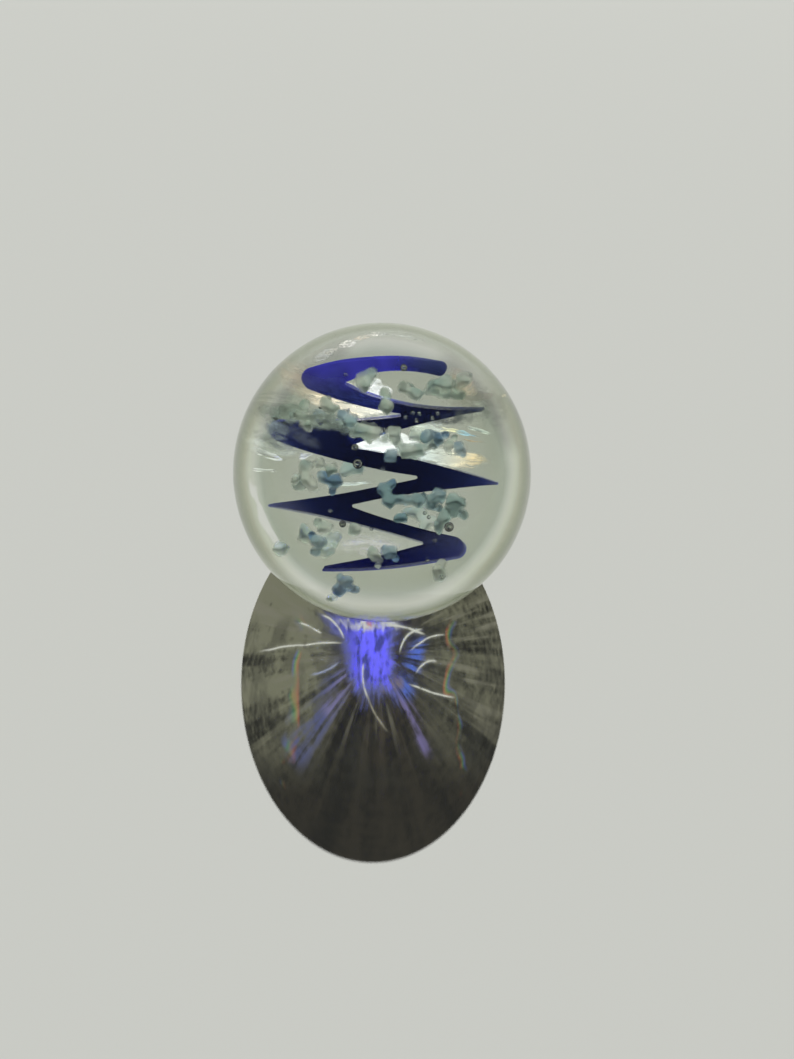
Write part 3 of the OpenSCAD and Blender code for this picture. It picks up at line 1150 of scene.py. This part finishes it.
@dataclass
class Veils:
    """Veils of fine trapped air or dust that hang behind the ribbon and round its folds, some
    painted bright as highlights.
    """

    name: str
    veils: tuple[Veil, ...]
    finish: SilverVeil
    thick: float = 0.10 * MM
    rumple: float = 0.35 * MM
    lump: float = 0.9 * MM
    splits: int = 5

    def colour(self, sheet: bpy.types.Object, veil: Veil) -> None:
        """Stores a veil's colours and its distance from the middle in its mesh.

        Args:
            sheet: The veil's sheet, still a ball of radius 1.
            veil: How the veil shows.
        """
        points = sheet.data.vertices
        rim = sheet.data.attributes.new("rim", "FLOAT", "POINT")
        rim.data.foreach_set("value", [point.co.xy.length for point in points])
        colours = []
        for point in points:
            share = ((point.co.x + 1) / 2) ** 2
            colours.extend(a + (b - a) * share for a, b in zip(veil.start, veil.end or veil.start))
            colours.append(veil.cover)
        tint = sheet.data.attributes.new("tint", "FLOAT_COLOR", "POINT")
        tint.data.foreach_set("color", colours)

    def place(self, veil: Veil) -> Matrix:
        """Finds where a ball of radius 1 has to go to be a veil.

        Args:
            veil: Its place and size.

        Returns:
            The place as a matrix.
        """
        tip = math.radians(veil.tip)
        turn = math.radians(veil.turn)
        up = UPWARD * math.cos(tip) - FACING * math.sin(tip)
        out = FACING * math.cos(tip) + UPWARD * math.sin(tip)
        length = ACROSS * math.cos(turn) + up * math.sin(turn)
        height = up * math.cos(turn) - ACROSS * math.sin(turn)
        half_length, half_height = veil.half
        sides = (length * half_length * MM, height * half_height * MM, out * self.thick)
        return Matrix.Translation(in_work(*veil.middle)) @ Matrix(sides).transposed().to_4x4()

    def sheet(self, veil: Veil) -> bpy.types.Object:
        """Shapes one veil: a thin, rumpled, closed leaf.

        Args:
            veil: Its place and size.

        Returns:
            The veil.
        """
        sheet = add_ball(self.splits, 1.0)
        self.colour(sheet, veil)
        sheet.matrix_world = self.place(veil)
        settle(sheet)
        displace(sheet, "rumple", self.lump, self.rumple, 0.5)
        round_off(sheet)
        return sheet

    def build(self) -> bpy.types.Object:
        """Builds the veils.

        Returns:
            The veils.
        """
        veils = join_all([self.sheet(veil) for veil in self.veils], self.name)
        dress(veils, self.finish.material())
        veils.visible_shadow = False
        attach(veils, "root")
        LOG.info("%s: %d veils, %d faces", self.name, len(self.veils), len(veils.data.polygons))
        return veils


@dataclass
class Ribbon:
    """The cobalt ribbon, kept as the CAD made it."""

    finish: CobaltGlass = field(default_factory=CobaltGlass)

    def build(self) -> bpy.types.Object:
        """Dresses the ribbon.

        Returns:
            The ribbon.
        """
        ribbon = frame["nodes"]["cobalt_ribbon"]
        dress(ribbon, self.finish.material())
        ribbon.visible_shadow = False
        LOG.info("cobalt_ribbon: %d faces", len(ribbon.data.polygons))
        return ribbon


# -------------------- The studio --------------------


@dataclass(frozen=True)
class Studio:
    """Floor, lamps, world and camera."""

    pale: Colour = (0.60, 0.61, 0.57)
    dusk: Colour = (0.10, 0.11, 0.12)
    sky: Colour = (1.0, 1.0, 0.98)
    world_light: float = 0.022
    floor_size: float = 8.0
    lens: float = 17.0
    sensor: float = 36.0
    clip: Span = (0.001, 20.0)
    # The camera's place in ball radii, and its turn round each axis in degrees.
    eye: tuple[float, float, float] = (0, -2.153, 2.783)
    gaze: tuple[float, float, float] = (31.6680, -4.7283, 3.5416)

    def build(self) -> None:
        """Builds the stage, the light and the camera."""
        self.floor()
        self.lamp("key", LAMP_WAY, reach=9.0, size=0.06, share=0.95)
        self.lamp("fill", Vector((-0.5, -0.4, 0.8)), reach=2.4, size=2.0, share=0.015)
        self.world()
        self.camera()

    def floor(self) -> None:
        """Lays the plain pale floor."""
        bpy.ops.mesh.primitive_plane_add(size=self.floor_size, location=(0, 0, FLOOR_Z))
        floor = bpy.context.object
        floor.name = "floor"
        material, tree = new_material("floor_paper")
        paper = {"Base_Color": self.pale, "Roughness": 1.0, "Specular_IOR_Level": 0.0}
        tree.finish(tree.shader("Principled", **paper))
        dress(floor, material)

    def world(self) -> None:
        """Lights the whole scene softly and stands in for a pale backdrop."""
        world = bpy.data.worlds.new("studio")
        bpy.context.scene.world = world
        world.use_nodes = True
        tree = Tree(world.node_tree)
        rise = tree.along(tree.add("ShaderNodeTexCoord").outputs["Generated"], Vector((0, 0, 1)))
        ceiling = tree.ramp(rise, ((0.0, self.pale), (0.2, self.dusk)))
        soft, backdrop, above = (
            tree.add("ShaderNodeBackground", {"Color": colour, "Strength": strength}).outputs[0]
            for colour, strength in ((self.sky, self.world_light), (self.pale, 1.0), (ceiling, 1.0))
        )
        ray = tree.add("ShaderNodeLightPath").outputs
        seen = tree.math("MAXIMUM", ray["Is Camera Ray"], ray["Is Transmission Ray"])
        lit = tree.mix(ray["Is Glossy Ray"], soft, above)
        tree.add("ShaderNodeOutputWorld", {"Surface": tree.mix(seen, lit, backdrop)})

    def lamp(self, name: str, way: Vector, reach: float, size: float, share: float) -> None:
        """Adds one area lamp aimed at the ball, which no glossy surface mirrors.

        Args:
            name: The lamp's name.
            way: Direction from the ball to the lamp.
            reach: Distance to the lamp.
            size: Its diameter.
            share: The part of a white floor's brightness that it gives.
        """
        place = way.normalized() * reach
        bpy.ops.object.light_add(type="AREA", location=place)
        lamp = bpy.context.object
        lamp.name = name
        lamp.data.shape = "DISK"
        lamp.data.size = size
        lamp.data.energy = share * (math.pi * reach) ** 2 / way.normalized().z
        lamp.rotation_mode = "QUATERNION"
        lamp.rotation_quaternion = (-place).to_track_quat("-Z", "Y")
        lamp.visible_glossy = False

    def camera(self) -> None:
        """Adds the camera."""
        bpy.ops.object.camera_add()
        camera = bpy.context.object
        camera.data.sensor_width = self.sensor
        camera.data.lens = self.lens
        camera.data.clip_start, camera.data.clip_end = self.clip
        camera.rotation_mode = "QUATERNION"
        camera.rotation_quaternion = Euler(map(math.radians, self.gaze)).to_quaternion()
        camera.location = Vector(self.eye) * RADIUS
        bpy.context.scene.camera = camera


def main() -> None:
    """Builds the studio and the marble."""
    logging.basicConfig(level=logging.INFO, format="%(message)s")
    Studio().build()
    GlassBody().build()
    Ribbon().build()
    for frit in Frit:
        MeltedFrit(frit).build()
    haze = SilverVeil("frit_haze", run=0.75 * MM, fine=0.5 * MM, gaps=(0.30, 0.60))
    painted_glints = SilverVeil("painted_glints", run=0.24 * MM, fine=0.16 * MM, gaps=(0.48, 0.60))
    Veils("air_veils_and_highlights", AIR_VEILS_AND_HIGHLIGHTS, SilverVeil()).build()
    Veils("frit_haze", HAZE, haze).build()
    Veils("painted_glints", PAINTED_GLINTS, painted_glints).build()
    bpy.context.scene.view_settings.view_transform = "Standard"


if __name__ == "__main__":
    main()
